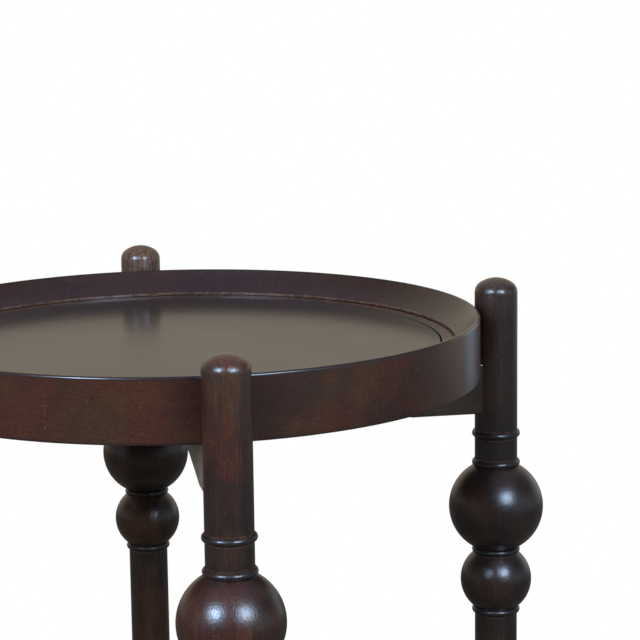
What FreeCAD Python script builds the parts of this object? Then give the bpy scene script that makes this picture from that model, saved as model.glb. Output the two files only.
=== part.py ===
import FreeCAD, Part
import math
import os

# Round side table: a round tray rests on two crossing rails that tie four turned posts together
# Millimetres, +Z up, origin on the floor under the centre, one post on each of -Y, +X, +Y and -X

# Height over the post domes, and how far the domes stand above the tray rim
table_height = 610.0
dome_rise = 23.0

# Tray rim: outer size, top edge, sloping cove down to the arris, step, ledge and panel lip
rim_diameter = 560.0
rim_height = 56.5
rim_land = 2.0
rim_edge_radius = 0.8
arris_inset = 22.7
arris_drop = 21.6
cove_depth = 1.2
arris_step = 2.6
ledge_width = 12.4
lip_width = 17.0
segment_count = 8
first_seam_angle = 29.0

# Loose splines across the seams between rim segments
spline_thickness = 4.0
spline_width = 24.0
spline_length = 30.0
spline_clearance = 0.2

# Top panel, with a shadow gap round it
panel_thickness = 12.0
panel_gap = 1.5
panel_edge_radius = 0.5

# Countersunk wood screws for the panel and for the rails' crossing
screw_diameter = 4.0
screw_head_diameter = 8.0
screw_head_height = 2.4
screw_tip_length = 3.0
screw_clearance = 0.1
drive_width = 2.2
drive_depth = 1.2
panel_screw_bite = 8.0
lap_screw_bite = 6.0

# Turned posts: shaft, dome, beads and balls, stacked from the rail downwards
post_diameter = 40.8
post_to_rim_gap = 4.6
dome_height = 14.0
dome_shoulder_radius = 11.0
rail_to_collar = 18.4
collar_neck = 21.9
bead_height = 6.6
bead_projection = 2.7
bead_notch = 0.5
waist_bead_height = 5.6
big_ball_diameter = 90.8
small_ball_diameter = 68.4
foot_flat_diameter = 50.0

# Cross rails: straight top, arched underside between flat shoulders at the posts
rail_thickness = 25.0
rail_end_depth = 48.0
rail_arch_rise = 26.5
rail_shoulder = 65.0
rail_edge_radius = 1.2
cope_clearance = 0.2
lap_clearance = 0.2

# Hanger bolt, washer and nut in a pocket under each rail end
bolt_diameter = 6.0
bolt_tip_length = 5.0
bolt_overrun = 4.0
bolt_clearance = 0.1
bolt_bite_share = 0.68
pocket_setback = 30.0
pocket_length = 26.0
pocket_clearance = 1.0
washer_diameter = 12.5
washer_thickness = 1.6
nut_width = 10.0
nut_height = 5.0

# Dowels above and below each bolt
dowel_diameter = 8.0
dowel_spacing = 30.0
dowel_rail_depth = 22.0
dowel_post_share = 0.35
dowel_clearance = 0.1
dowel_bevel = 1.0

# Felt pads on the rails, under the rim
pad_diameter = 20.0
pad_thickness = 1.5

# Nail-on glide under each foot
glide_diameter = 40.0
glide_thickness = 3.5
glide_edge_radius = 1.0
nail_diameter = 2.6
nail_head_diameter = 8.0
nail_head_height = 1.2
nail_recess = 0.8
nail_length = 24.0
nail_tip_length = 3.0
nail_clearance = 0.1

# How far a cutting tool runs past the surface that it cuts
overrun = 5.0

# Radii and places that follow from the sizes above
rim_radius = rim_diameter / 2
post_radius = post_diameter / 2
notch_radius = post_radius + bead_notch
post_circle = rim_radius + post_to_rim_gap + post_radius
rim_top = table_height - dome_rise
rim_bottom = rim_top - rim_height
rail_top = rim_bottom - pad_thickness
rail_bottom = rail_top - rail_end_depth
rail_end = post_circle - post_radius
arris_radius = rim_radius - arris_inset
ledge_radius = arris_radius - ledge_width
lip_radius = ledge_radius - lip_width
panel_top = rim_top - arris_drop - arris_step
panel_bottom = panel_top - panel_thickness
panel_radius = ledge_radius - panel_gap
bolt_height = (rail_top + rail_bottom) / 2
pocket_wall = rail_end - pocket_setback
pad_circle = (rim_radius + lip_radius) / 2
station_names = ("right", "back", "left", "front")
up = FreeCAD.Vector(0, 0, 1)
centre = FreeCAD.Vector(0, 0, 0)


class Outline:
    """A closed outline in the XZ plane, drawn from point to point."""

    def __init__(self, radius, height):
        self.start = FreeCAD.Vector(radius, 0, height)
        self.here = self.start
        self.edges = []

    def line(self, radius, height):
        """Draws a straight edge to a point."""
        target = FreeCAD.Vector(radius, 0, height)
        self.edges.append(Part.LineSegment(self.here, target).toShape())
        self.here = target

    def arc(self, middle, end):
        """Draws an arc through a middle point to an end point."""
        through = FreeCAD.Vector(middle[0], 0, middle[1])
        target = FreeCAD.Vector(end[0], 0, end[1])
        self.edges.append(Part.Arc(self.here, through, target).toShape())
        self.here = target

    def sweep(self, middle, radius, first, last):
        """Draws an arc about a middle point, between two angles in degrees counted up from level."""
        self.arc(at_angle(middle, radius, (first + last) / 2), at_angle(middle, radius, last))

    def face(self):
        """Closes the outline and returns its face."""
        if self.here.sub(self.start).Length > 0:
            self.line(self.start.x, self.start.z)
        return Part.Face(Part.Wire(self.edges))

    def turned(self, angle=360):
        """Turns the outline about the Z axis."""
        return self.face().revolve(centre, up, angle)


def at_angle(middle, radius, angle):
    """The point at a distance and an angle, in degrees up from level, from a middle point."""
    turn = math.radians(angle)
    return (middle[0] + radius * math.cos(turn), middle[1] + radius * math.sin(turn))


def moved(shape, x, y, z):
    """Returns a copy of a shape, moved."""
    copy = shape.copy()
    copy.translate(FreeCAD.Vector(x, y, z))
    return copy


def rotated(shape, angle):
    """Returns a copy of a shape, turned about the table's axis."""
    copy = shape.copy()
    copy.rotate(centre, up, angle)
    return copy


def level_bar(radius, low_x, high_x, height):
    """A round bar that lies along X at a height."""
    start = FreeCAD.Vector(low_x, 0, height)
    return Part.makeCylinder(radius, high_x - low_x, start, FreeCAD.Vector(1, 0, 0))


def block(low_x, high_x, width, low_z, high_z):
    """A block that is centred on the XZ plane."""
    corner = FreeCAD.Vector(low_x, -width / 2, low_z)
    return Part.makeBox(high_x - low_x, width, high_z - low_z, corner)


def around(shape, count):
    """Copies of a shape at equal angles about the table's axis."""
    return [rotated(shape, number * 360 / count) for number in range(count)]


def ball_half_height(diameter):
    """Height from a ball's centre to the groove where a bead meets it."""
    return math.sqrt((diameter / 2) ** 2 - notch_radius ** 2)


def add_bead(outline, top, height, end_radius):
    """Draws a bead down to an end radius and returns the height of its lower edge."""
    outline.arc((post_radius + bead_projection, top - height / 2), (end_radius, top - height))
    return top - height


def add_ball(outline, top, diameter):
    """Draws a ball from groove to groove and returns the height of its lower edge."""
    half_height = ball_half_height(diameter)
    outline.arc((diameter / 2, top - half_height), (notch_radius, top - 2 * half_height))
    return top - 2 * half_height


def add_dome(outline):
    """Draws the blunt dome: a shallow crown that runs into a rounded shoulder."""
    base = table_height - dome_height
    inner = post_radius - dome_shoulder_radius
    spread = inner ** 2 + dome_height ** 2 - dome_shoulder_radius ** 2
    crown_radius = spread / (2 * (dome_height - dome_shoulder_radius))
    crown_centre = table_height - crown_radius
    join_angle = math.degrees(math.atan2(base - crown_centre, inner))
    outline.sweep((0, crown_centre), crown_radius, 90, join_angle)
    outline.sweep((inner, base), dome_shoulder_radius, join_angle, 0)


def foot_stack_top():
    """Height of the upper edge of the turning above the foot."""
    foot_depth = math.sqrt((big_ball_diameter / 2) ** 2 - (foot_flat_diameter / 2) ** 2)
    foot_ball_top = glide_thickness + foot_depth + ball_half_height(big_ball_diameter)
    small_ball = 2 * ball_half_height(small_ball_diameter)
    return foot_ball_top + waist_bead_height + small_ball + bead_height


def post_blank():
    """The turned post before it is bored, on the table's axis."""
    outline = Outline(0, table_height)
    add_dome(outline)
    height = rail_bottom - rail_to_collar
    outline.line(post_radius, height)
    height = add_bead(outline, height, bead_height, post_radius) - collar_neck
    outline.line(post_radius, height)
    height = add_bead(outline, height, bead_height, notch_radius)
    height = add_ball(outline, height, big_ball_diameter)
    height = add_bead(outline, height, waist_bead_height, notch_radius)
    height = add_ball(outline, height, small_ball_diameter)
    add_bead(outline, height, bead_height, post_radius)
    height = foot_stack_top()
    outline.line(post_radius, height)
    height = add_bead(outline, height, bead_height, notch_radius)
    height = add_ball(outline, height, small_ball_diameter)
    height = add_bead(outline, height, waist_bead_height, notch_radius)
    ball_centre = height - ball_half_height(big_ball_diameter)
    outline.arc((big_ball_diameter / 2, ball_centre), (foot_flat_diameter / 2, glide_thickness))
    outline.line(0, glide_thickness)
    return outline.turned()


def dowel_heights():
    """Heights of the dowels above and below the bolt."""
    return (bolt_height - dowel_spacing / 2, bolt_height + dowel_spacing / 2)


def bolt_end():
    """How far out along X the hanger bolt reaches in the post."""
    return rail_end + post_diameter * bolt_bite_share


def dowel_end():
    """How far out along X a dowel reaches in the post."""
    return rail_end + post_diameter * dowel_post_share


def joint_bores():
    """Bores for the bolt and the dowels of one rail end."""
    bolt_bore = level_bar(bolt_diameter / 2 + bolt_clearance, pocket_wall - overrun,
                          bolt_end() + bolt_clearance, bolt_height)
    dowel_radius = dowel_diameter / 2 + dowel_clearance
    low_x = rail_end - dowel_rail_depth - dowel_clearance
    high_x = dowel_end() + dowel_clearance
    return [bolt_bore] + [level_bar(dowel_radius, low_x, high_x, height) for height in dowel_heights()]


def post():
    """One bored post, at the right-hand station."""
    nail_bore = Part.makeCylinder(nail_diameter / 2 + nail_clearance,
                                  nail_recess + nail_length + nail_clearance)
    return moved(post_blank(), post_circle, 0, 0).cut(joint_bores() + [moved(nail_bore, post_circle, 0, 0)])


def rail_blank():
    """A rail along X with its arched underside and eased long edges."""
    half_span = rail_end - rail_shoulder
    outline = Outline(-post_circle, rail_top)
    outline.line(post_circle, rail_top)
    outline.line(post_circle, rail_bottom)
    outline.line(half_span, rail_bottom)
    outline.arc((0, rail_bottom + rail_arch_rise), (-half_span, rail_bottom))
    outline.line(-post_circle, rail_bottom)
    solid = outline.face().extrude(FreeCAD.Vector(0, rail_thickness, 0))
    solid.translate(FreeCAD.Vector(0, -rail_thickness / 2, 0))
    return solid.makeFillet(rail_edge_radius, long_edges(solid))


def long_edges(solid):
    """The edges along a rail's two sides, above and below."""
    return [edge for edge in solid.Edges if edge.BoundBox.YLength < rail_edge_radius
            and edge.BoundBox.XLength > rail_edge_radius]


def bolt_pocket():
    """The pocket under a rail end that takes the washer and the nut."""
    half_width = washer_diameter / 2 + pocket_clearance
    return block(pocket_wall - pocket_length, pocket_wall, 2 * half_width,
                 rail_bottom - overrun, bolt_height + half_width)


def rail():
    """A rail along X, coped to the posts and bored at both ends, without its lap."""
    cope = Part.makeCylinder(post_radius + cope_clearance, rail_end_depth + 2 * overrun,
                             FreeCAD.Vector(post_circle, 0, rail_bottom - overrun))
    end_cuts = [cope, bolt_pocket()] + joint_bores()
    return rail_blank().cut(end_cuts + [rotated(cut, 180) for cut in end_cuts])


def lap_height():
    """Height of the plane where the crossing rails meet."""
    return (rail_top + rail_bottom + rail_arch_rise) / 2


def lap_block(low_z, high_z):
    """The block that a lap removes from a rail."""
    half_width = rail_thickness / 2 + lap_clearance
    return block(-half_width, half_width, rail_thickness + overrun, low_z, high_z)


def wood_screw(length):
    """A countersunk wood screw that stands on its head, with a square drive recess."""
    radius = screw_diameter / 2
    outline = Outline(0, 0)
    outline.line(screw_head_diameter / 2, 0)
    outline.line(radius, screw_head_height)
    outline.line(radius, length - screw_tip_length)
    outline.line(0, length)
    return outline.turned().cut(block(-drive_width / 2, drive_width / 2, drive_width, -overrun, drive_depth))


def screw_bore(length):
    """The hole that a countersunk wood screw fits."""
    slack = screw_clearance
    outline = Outline(0, -slack)
    outline.line(screw_head_diameter / 2 + slack, -slack)
    outline.line(screw_head_diameter / 2 + slack, 0)
    outline.line(screw_diameter / 2 + slack, screw_head_height)
    outline.line(screw_diameter / 2 + slack, length + slack)
    outline.line(0, length + slack)
    return outline.turned()


def lap_screw_length():
    """From the arch's crown through the lower half of the lap into the upper."""
    return lap_height() - rail_bottom - rail_arch_rise + lap_screw_bite


def lap_screw_place(shape):
    """Puts a screw or its bore at the crown of the arch."""
    return moved(shape, 0, 0, rail_bottom + rail_arch_rise)


def hanger_bolt():
    """The hanger bolt of the right-hand station, along X."""
    radius = bolt_diameter / 2
    inner_end = pocket_wall - washer_thickness - nut_height - bolt_overrun
    outline = Outline(0, 0)
    outline.line(radius, 0)
    outline.line(radius, bolt_end() - inner_end - bolt_tip_length)
    outline.line(0, bolt_end() - inner_end)
    bolt = outline.turned()
    bolt.rotate(centre, FreeCAD.Vector(0, 1, 0), 90)
    return moved(bolt, inner_end, 0, bolt_height)


def bolt_washer():
    """The washer against the pocket's end wall."""
    low_x = pocket_wall - washer_thickness
    disc = level_bar(washer_diameter / 2, low_x, pocket_wall, bolt_height)
    return disc.cut(level_bar(bolt_diameter / 2 + bolt_clearance, low_x - overrun,
                              pocket_wall + overrun, bolt_height))


def bolt_nut():
    """The hexagon nut against the washer."""
    high_x = pocket_wall - washer_thickness
    low_x = high_x - nut_height
    corner_radius = nut_width / math.sqrt(3)
    corners = [FreeCAD.Vector(low_x, corner_radius * math.sin(math.radians(60 * number)),
                              bolt_height + corner_radius * math.cos(math.radians(60 * number)))
               for number in range(7)]
    prism = Part.Face(Part.makePolygon(corners)).extrude(FreeCAD.Vector(nut_height, 0, 0))
    return prism.cut(level_bar(bolt_diameter / 2 + bolt_clearance, low_x - overrun,
                               high_x + overrun, bolt_height))


def dowels():
    """The two dowels of the right-hand station, with bevelled ends."""
    radius = dowel_diameter / 2
    length = dowel_end() - rail_end + dowel_rail_depth
    outline = Outline(0, 0)
    outline.line(radius - dowel_bevel, 0)
    outline.line(radius, dowel_bevel)
    outline.line(radius, length - dowel_bevel)
    outline.line(radius - dowel_bevel, length)
    outline.line(0, length)
    dowel = outline.turned()
    dowel.rotate(centre, FreeCAD.Vector(0, 1, 0), 90)
    return [moved(dowel, rail_end - dowel_rail_depth, 0, height) for height in dowel_heights()]


def felt_pad():
    """The felt disc between a rail and the rim."""
    return Part.makeCylinder(pad_diameter / 2, pad_thickness, FreeCAD.Vector(pad_circle, 0, rail_top))


def foot_glide():
    """The round glide under a foot, with a sunk seat for its nail's head."""
    radius = glide_diameter / 2
    seat = nail_head_diameter / 2 + nail_clearance
    outline = Outline(nail_diameter / 2 + nail_clearance, glide_thickness)
    outline.line(radius, glide_thickness)
    outline.line(radius, glide_edge_radius)
    outline.sweep((radius - glide_edge_radius, glide_edge_radius), glide_edge_radius, 0, -90)
    outline.line(seat, 0)
    outline.line(seat, nail_recess + nail_head_height)
    outline.line(nail_diameter / 2 + nail_clearance, nail_recess + nail_head_height)
    return moved(outline.turned(), post_circle, 0, 0)


def glide_nail():
    """The nail that holds a glide to its foot."""
    outline = Outline(0, nail_recess)
    outline.line(nail_head_diameter / 2, nail_recess)
    outline.line(nail_head_diameter / 2, nail_recess + nail_head_height)
    outline.line(nail_diameter / 2, nail_recess + nail_head_height)
    outline.line(nail_diameter / 2, nail_recess + nail_length - nail_tip_length)
    outline.line(0, nail_recess + nail_length)
    return moved(outline.turned(), post_circle, 0, 0)


def add_cove(outline):
    """Draws the hollow slope from the rim's top land down to the arris."""
    high_radius = rim_radius - rim_land
    low = rim_top - arris_drop
    slope = math.hypot(high_radius - arris_radius, arris_drop)
    middle_radius = (high_radius + arris_radius) / 2 + cove_depth * arris_drop / slope
    middle_height = (rim_top + low) / 2 - cove_depth * (high_radius - arris_radius) / slope
    outline.arc((middle_radius, middle_height), (arris_radius, low))


def rim_ring(angle):
    """The rim's section turned through an angle."""
    outline = Outline(lip_radius, rim_bottom)
    corner_radius = rim_radius - rim_edge_radius
    outline.line(corner_radius, rim_bottom)
    outline.sweep((corner_radius, rim_bottom + rim_edge_radius), rim_edge_radius, -90, 0)
    outline.line(rim_radius, rim_top - rim_edge_radius)
    outline.sweep((corner_radius, rim_top - rim_edge_radius), rim_edge_radius, 0, 90)
    outline.line(rim_radius - rim_land, rim_top)
    add_cove(outline)
    outline.line(arris_radius, panel_top)
    outline.line(ledge_radius, panel_top)
    outline.line(ledge_radius, panel_bottom)
    outline.line(lip_radius, panel_bottom)
    return outline.turned(angle)


def spline(slack):
    """A loose spline on the XZ plane, or its slot where there is slack."""
    middle = (rim_radius + lip_radius) / 2
    half_width = spline_width / 2 + slack
    height = (rim_bottom + panel_bottom) / 2
    half_thickness = spline_thickness / 2 + slack
    return block(middle - half_width, middle + half_width, spline_length + 2 * slack,
                 height - half_thickness, height + half_thickness)


def panel_screw_place(shape, angle):
    """Puts a screw or its bore under the lip at an angle."""
    return rotated(moved(shape, (ledge_radius + lip_radius) / 2, 0, rim_bottom), angle)


def panel_screw_length():
    """Through the lip and into the panel."""
    return panel_bottom - rim_bottom + panel_screw_bite


def seam_angles():
    """Angles of the seams between segments, the first counted from the front post."""
    return [first_seam_angle - 90 + number * 360 / segment_count for number in range(segment_count)]


def rim_segment(seam):
    """One segment of the rim, slotted at both ends and bored for its screw."""
    span = 360 / segment_count
    slot = spline(spline_clearance)
    bore = panel_screw_place(screw_bore(panel_screw_length()), seam + span / 2)
    return rotated(rim_ring(span), seam).cut([rotated(slot, seam), rotated(slot, seam + span), bore])


def top_panel():
    """The round panel, bored from below for its screws."""
    outline = Outline(0, panel_bottom)
    outline.line(panel_radius, panel_bottom)
    outline.line(panel_radius, panel_top - panel_edge_radius)
    corner = (panel_radius - panel_edge_radius, panel_top - panel_edge_radius)
    outline.sweep(corner, panel_edge_radius, 0, 90)
    outline.line(0, panel_top)
    half = 180 / segment_count
    bore = screw_bore(panel_screw_length())
    return outline.turned().cut([panel_screw_place(bore, seam + half) for seam in seam_angles()])


def frame_nodes():
    """The posts, rails and everything fixed to them, by node name."""
    nodes = {}
    for number, name in enumerate(station_names):
        nodes["post_" + name] = [rotated(post(), 90 * number)]
    lap_bore = lap_screw_place(screw_bore(lap_screw_length()))
    low_rail = rail().cut([lap_block(lap_height(), rail_top + overrun), lap_bore])
    high_rail = rotated(rail(), 90).cut([lap_block(rail_bottom - overrun, lap_height()), lap_bore])
    nodes["rail_left_right"] = [low_rail]
    nodes["rail_front_back"] = [high_rail]
    nodes["lap_screw"] = [lap_screw_place(wood_screw(lap_screw_length()))]
    station_count = len(station_names)
    nodes["hanger_bolts"] = around(hanger_bolt(), station_count)
    nodes["bolt_washers"] = around(bolt_washer(), station_count)
    nodes["bolt_nuts"] = around(bolt_nut(), station_count)
    nodes["rail_dowels"] = [turned for dowel in dowels() for turned in around(dowel, station_count)]
    nodes["felt_pads"] = around(felt_pad(), station_count)
    nodes["foot_glides"] = around(foot_glide(), station_count)
    nodes["glide_nails"] = around(glide_nail(), station_count)
    return nodes


def tray_nodes():
    """The rim segments, the panel and their fixings, by node name."""
    nodes = {}
    for number, seam in enumerate(seam_angles()):
        nodes["rim_segment_" + str(number + 1)] = [rim_segment(seam)]
    nodes["rim_splines"] = [rotated(spline(0), seam) for seam in seam_angles()]
    nodes["top_panel"] = [top_panel()]
    half = 180 / segment_count
    screw = wood_screw(panel_screw_length())
    nodes["panel_screws"] = [panel_screw_place(screw, seam + half) for seam in seam_angles()]
    return nodes


def single_solid(shape):
    """The one solid in a shape."""
    if len(shape.Solids) != 1:
        raise ValueError("a piece came out as " + str(len(shape.Solids)) + " solids")
    return shape.Solids[0]


def export(nodes):
    """Writes one file for each node."""
    os.makedirs("parts", exist_ok=True)
    for name, shapes in nodes.items():
        solids = [single_solid(shape) for shape in shapes]
        shape = solids[0] if len(solids) == 1 else Part.makeCompound(solids)
        if not shape.isValid():
            raise ValueError(name + " is not a valid solid")
        shape.exportStep("parts/" + name + ".step")
        print(name, len(solids), round(shape.Volume, 1))


export(frame_nodes())
export(tray_nodes())
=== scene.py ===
"""The looks of the round side table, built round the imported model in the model's own frame.

Turned posts, sawn rim segments, the panel and the rails are made here as fine meshes with lacquered, stained
wood finishes. Small fixings stay as packed and get their metal, wood, felt and nylon. Sizes are in
millimetres.
"""

import logging
import math
from dataclasses import dataclass, field
from enum import Enum
from typing import Any

import bmesh
import bpy
from mathutils import Matrix, Vector


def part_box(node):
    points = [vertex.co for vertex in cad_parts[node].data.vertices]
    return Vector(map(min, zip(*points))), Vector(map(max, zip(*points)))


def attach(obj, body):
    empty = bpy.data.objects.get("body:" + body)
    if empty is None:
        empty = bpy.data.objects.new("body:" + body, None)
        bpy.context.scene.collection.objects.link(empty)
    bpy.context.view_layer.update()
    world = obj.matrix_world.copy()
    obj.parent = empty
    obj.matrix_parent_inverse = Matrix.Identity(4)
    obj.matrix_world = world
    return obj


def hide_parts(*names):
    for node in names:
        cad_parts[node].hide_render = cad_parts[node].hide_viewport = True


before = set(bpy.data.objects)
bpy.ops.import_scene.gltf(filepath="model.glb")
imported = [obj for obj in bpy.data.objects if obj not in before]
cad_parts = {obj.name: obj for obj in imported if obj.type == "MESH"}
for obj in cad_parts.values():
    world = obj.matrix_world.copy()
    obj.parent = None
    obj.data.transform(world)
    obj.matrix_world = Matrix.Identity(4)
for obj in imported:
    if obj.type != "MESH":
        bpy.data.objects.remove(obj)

log = logging.getLogger("side_table")

MM = 0.001

# A noise at this scale has grains about one unit wide
NOISE_SCALE = 0.6

# How much of a noise each finer octave adds
NOISE_ROUGHNESS = 0.6

# Nearly all of a noise's values lie between these
NOISE_RANGE = (0.38, 0.62)

# How much longer than wide the stain's clouds, the film's smears and its ripple are
CLOUD_STRETCH = 1.2
SMEAR_STRETCH = 1.5
RIPPLE_STRETCH = 1.3

# How wide the places of one hue are, as a share of a cloud's size
HUE_WIDTH = 0.8

# Of lacquer, and of the resin and wood under it
LACQUER_IOR = 1.5

WHITE = (1.0, 1.0, 1.0, 1.0)

# Metres between the planks that two pieces with tones 1 apart are cut from
PLANK_SPREAD = 3.7

# Dust nibs and pores lie about this far apart, in millimetres
SPECK_SPACING = 2.6

# Keeps a share of a length from being asked of no length
LEAST = 1e-9

# Points closer than this are one, in millimetres
MERGE_MM = 0.01

# An eased corner's arc has this many chords
EASE_STEPS = 5

# An edge that turns more than this, in degrees, stays sharp
SHARP_ANGLE = 32

Pair = tuple[float, float]
Way = tuple[float, float, float]
Colour = tuple[float, float, float, float]
Mesh = bpy.types.Mesh
Material = bpy.types.Material
Tree = bpy.types.NodeTree
Node = bpy.types.Node
Socket = bpy.types.NodeSocket

# What an input is linked to: a socket, or a node for its first output
Source = Socket | Node


class Body(Enum):
    """The two bodies of the table: what stands, and what lifts off."""

    FRAME = "frame"
    TRAY = "tray"


class Station(Enum):
    """Where the four posts stand, as an angle about the table's axis in degrees."""

    RIGHT = 0
    BACK = 90
    LEFT = 180
    FRONT = 270


def linear(code: str) -> Colour:
    """Turns an sRGB hex colour into a linear one.

    Args:
        code: Six hex digits, with or without a leading #.

    Returns:
        The linear red, green and blue, and an alpha of 1.
    """
    digits = code.lstrip("#")
    shares = [int(digits[place:place + 2], 16) / 255 for place in (0, 2, 4)]
    red, green, blue = [s / 12.92 if s <= 0.04045 else ((s + 0.055) / 1.055) ** 2.4 for s in shares]
    return (red, green, blue, 1.0)


def tinted(code: str, level: float) -> Colour:
    """A hex colour at a share of its strength."""
    red, green, blue, alpha = linear(code)
    return (red * level, green * level, blue * level, alpha)


def add_node(tree: Tree, kind: str, inputs: dict[Any, Any] | None = None, **settings: Any) -> Node:
    """Adds a node with its settings, and sets or links its inputs.

    Args:
        tree: The tree that gets the node.
        kind: The node's type name.
        inputs: Values or sources, by the input's name or number.
        **settings: The node's own properties.

    Returns:
        The new node.
    """
    node = tree.nodes.new(kind)
    for name, value in settings.items():
        setattr(node, name, value)
    for key, value in (inputs or {}).items():
        if isinstance(value, Node):
            value = value.outputs[0]
        if isinstance(value, Socket):
            tree.links.new(value, node.inputs[key])
        else:
            node.inputs[key].default_value = value
    return node


def new_object(name: str, data: bpy.types.ID) -> bpy.types.Object:
    """Puts a mesh, a lamp or a camera in the scene."""
    piece = bpy.data.objects.new(name, data)
    bpy.context.scene.collection.objects.link(piece)
    return piece


def new_material(name: str) -> tuple[Material, Tree]:
    """Starts a material with an empty tree."""
    material = bpy.data.materials.new(name)
    material.use_nodes = True
    material.node_tree.nodes.clear()
    return material, material.node_tree


class Wear(Enum):
    """What happens at an edge: the attribute that tells it, and the values where it starts and is full."""

    PROUD = ("edge", 0.04, 0.075)
    # Grooves: thick stain, and painted shade
    HOLLOW = ("edge", -0.13, -0.19)
    LIP = ("edge", -0.012, -0.03)
    SHELTERED = ("edge", -0.02, -0.06)
    RUBBED = ("worn", 0.1, 0.6)
    DULL = ("worn", 0.6, 0.8)


@dataclass(frozen=True)
class StainedWood:
    """Close-grained hardwood, sprayed with an espresso stain and wiped, under satin lacquer.

    The stain lies black-brown where it is thick and thins to red or olive brown in soft cloudy patches, over
    which fine short fibres run along the piece. The lacquer film gives clear, soft-edged lights, which its
    spray ripple breaks up at their rims. Stain lies thick on beads. Grooves and the wood near beads are made
    darker, partly as thick stain and partly as painted shade, and faces that look one way are painted darker
    as painted shade. The stain is wiped thin just outside a groove, and is rubbed through where hands and
    cloths pass. A pair of sizes is a width across the fibres and a length along them.

    Attributes:
        name: The material's name.
        stain: Where the stain lies thick.
        warm: Where it was wiped thin.
        olive: The other brown of the thin patches.
        hues: Noise values at which the brown is all warm and all olive.
        rubbed: The wood that shows at worn edges.
        lip: The wiped line just outside a groove.
        speck: Dust nibs and unfilled pores.
        patch_mm: Size of the cloudy patches.
        patch_low: Where the patches start, which sets how much of the wood they cover.
        patch_span: How far above that they are full.
        patch_floor: How much of the brown is left between them.
        cloud_shift: Where in the noise the patches are taken from.
        painted_facing_shade: How much darker the colour is painted on faces that look one way, as painted
            shade.
        painted_facing_shade_way: That way: up on the rim, and on the posts their right side, which the lamps
            light less.
        painted_facing_shade_from: How far a face agrees with it, as a cosine, where the painted shade starts
            and is full.
        fibre_mm: Size of a streak. A real fibre bundle is about half as wide, too fine to show.
        fibre_share: How strongly the streaks show.
        fibre_depth_mm: How deep they telegraph through the film.
        band_mm: Size of the broader bands of the wiped stain.
        band_share: How strongly they show.
        mottle_mm: Size of the fine mottle of the sprayed stain.
        mottle_share: How strongly it shows.
        chip_mm: Size of the flecks that break up a rubbed edge.
        chips: Noise values where the edge is rubbed least and in full.
        chip_floor: How much it is rubbed where least.
        proud_share: How much thicker stain covers what stands proud.
        groove_stain_and_shade_share: How much darker a groove is made, by stain and by painted shade.
        lip_share: How much of the wiped line shows.
        rubbed_share: How much of the wood shows where it is rubbed.
        dull_film: How much of the film is left where it is dull.
        roughness: Of the stained wood under the lacquer.
        roughness_spread: How far it varies either way.
        sink_mm: Size of the places where the lacquer sank in.
        specular: Specular level of the stained wood.
        coat: Weight of the lacquer film.
        coat_roughness: Of the film.
        ripple_mm: Size of the ripple that spraying leaves in the film.
        ripple_depth_mm: Its depth.
        smear_mm: Size of the faint smears in the film.
        smear_share: How much the film's weight varies in them.
        smears: Noise values where the film is thinned and whole.
        nib_cloud_mm: Size of the places where specks lie thicker.
        nib_chance: A speck's own random value and its place's noise, summed, where it starts and is full.
        nib_reach: From a speck's middle, in spacings, where it starts to fade and has gone.
        nib_share: How strongly it shows.
    """

    name: str
    stain: str = "#1C1A1E"
    warm: str = "#47281E"
    olive: str = "#47301E"
    hues: Pair = (0.47, 0.66)
    rubbed: str = "#806A5E"
    lip: str = "#8E6C5C"
    speck: str = "#9C8272"
    patch_mm: float = 40.0
    patch_low: float = 0.37
    patch_span: float = 0.22
    patch_floor: float = 0.3
    cloud_shift: Way = (2.94, 0.16, 0.95)
    painted_facing_shade: float = 0.5
    painted_facing_shade_way: Way = (0.98, -0.19, 0.0)
    painted_facing_shade_from: Pair = (0.3, 0.65)
    fibre_mm: Pair = (0.9, 16.0)
    fibre_share: float = 0.23
    fibre_depth_mm: float = 0.008
    band_mm: Pair = (5.0, 60.0)
    band_share: float = 0.14
    mottle_mm: Pair = (1.5, 2.0)
    mottle_share: float = 0.11
    chip_mm: Pair = (1.6, 4.0)
    chips: Pair = (0.4, 0.58)
    chip_floor: float = 0.2
    proud_share: float = 0.6
    groove_stain_and_shade_share: float = 0.9
    lip_share: float = 0.7
    rubbed_share: float = 0.65
    dull_film: float = 0.15
    roughness: float = 0.34
    roughness_spread: float = 0.07
    sink_mm: Pair = (12.0, 30.0)
    specular: float = 0.2
    coat: float = 1.0
    coat_roughness: float = 0.27
    ripple_mm: float = 1.0
    ripple_depth_mm: float = 0.18
    smear_mm: float = 20.0
    smear_share: float = 0.1
    smears: Pair = (0.35, 0.65)
    nib_cloud_mm: Pair = (22.0, 26.0)
    nib_chance: Pair = (1.36, 1.6)
    nib_reach: Pair = (0.08, 0.2)
    nib_share: float = 0.8

    def build(self) -> Material:
        """Builds the material's nodes and returns it."""
        material, tree = new_material(self.name)
        place = self.grain_place(tree)
        fibre = self.noise(tree, place, self.fibre_mm, detail=4.0)
        normal = self.surface(tree, place, fibre)
        wear = self.wear(tree, place)
        colour = self.stained(tree, place, fibre)
        shader = add_node(tree, "ShaderNodeBsdfPrincipled", {
            "Base Color": self.marked(tree, place, colour, wear),
            "Roughness": self.varied_roughness(tree, place, fibre),
            "IOR": LACQUER_IOR,
            "Specular IOR Level": self.specular,
            "Coat Weight": self.film(tree, place, wear),
            "Coat Roughness": self.coat_roughness,
            "Coat IOR": LACQUER_IOR,
            "Normal": normal,
            "Coat Normal": normal,
        })
        add_node(tree, "ShaderNodeOutputMaterial", {"Surface": shader})
        return material

    def grain_place(self, tree: Tree) -> Node:
        """The place in the piece's own plank, fibres along Z, set apart for each piece by its tone."""
        grain = add_node(tree, "ShaderNodeAttribute", attribute_name="grain").outputs["Vector"]
        tone = add_node(tree, "ShaderNodeAttribute", attribute_name="tone").outputs["Vector"]
        apart = add_node(tree, "ShaderNodeVectorMath", {0: tone, "Scale": PLANK_SPREAD}, operation="SCALE")
        return add_node(tree, "ShaderNodeVectorMath", {0: grain, 1: apart})

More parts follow.
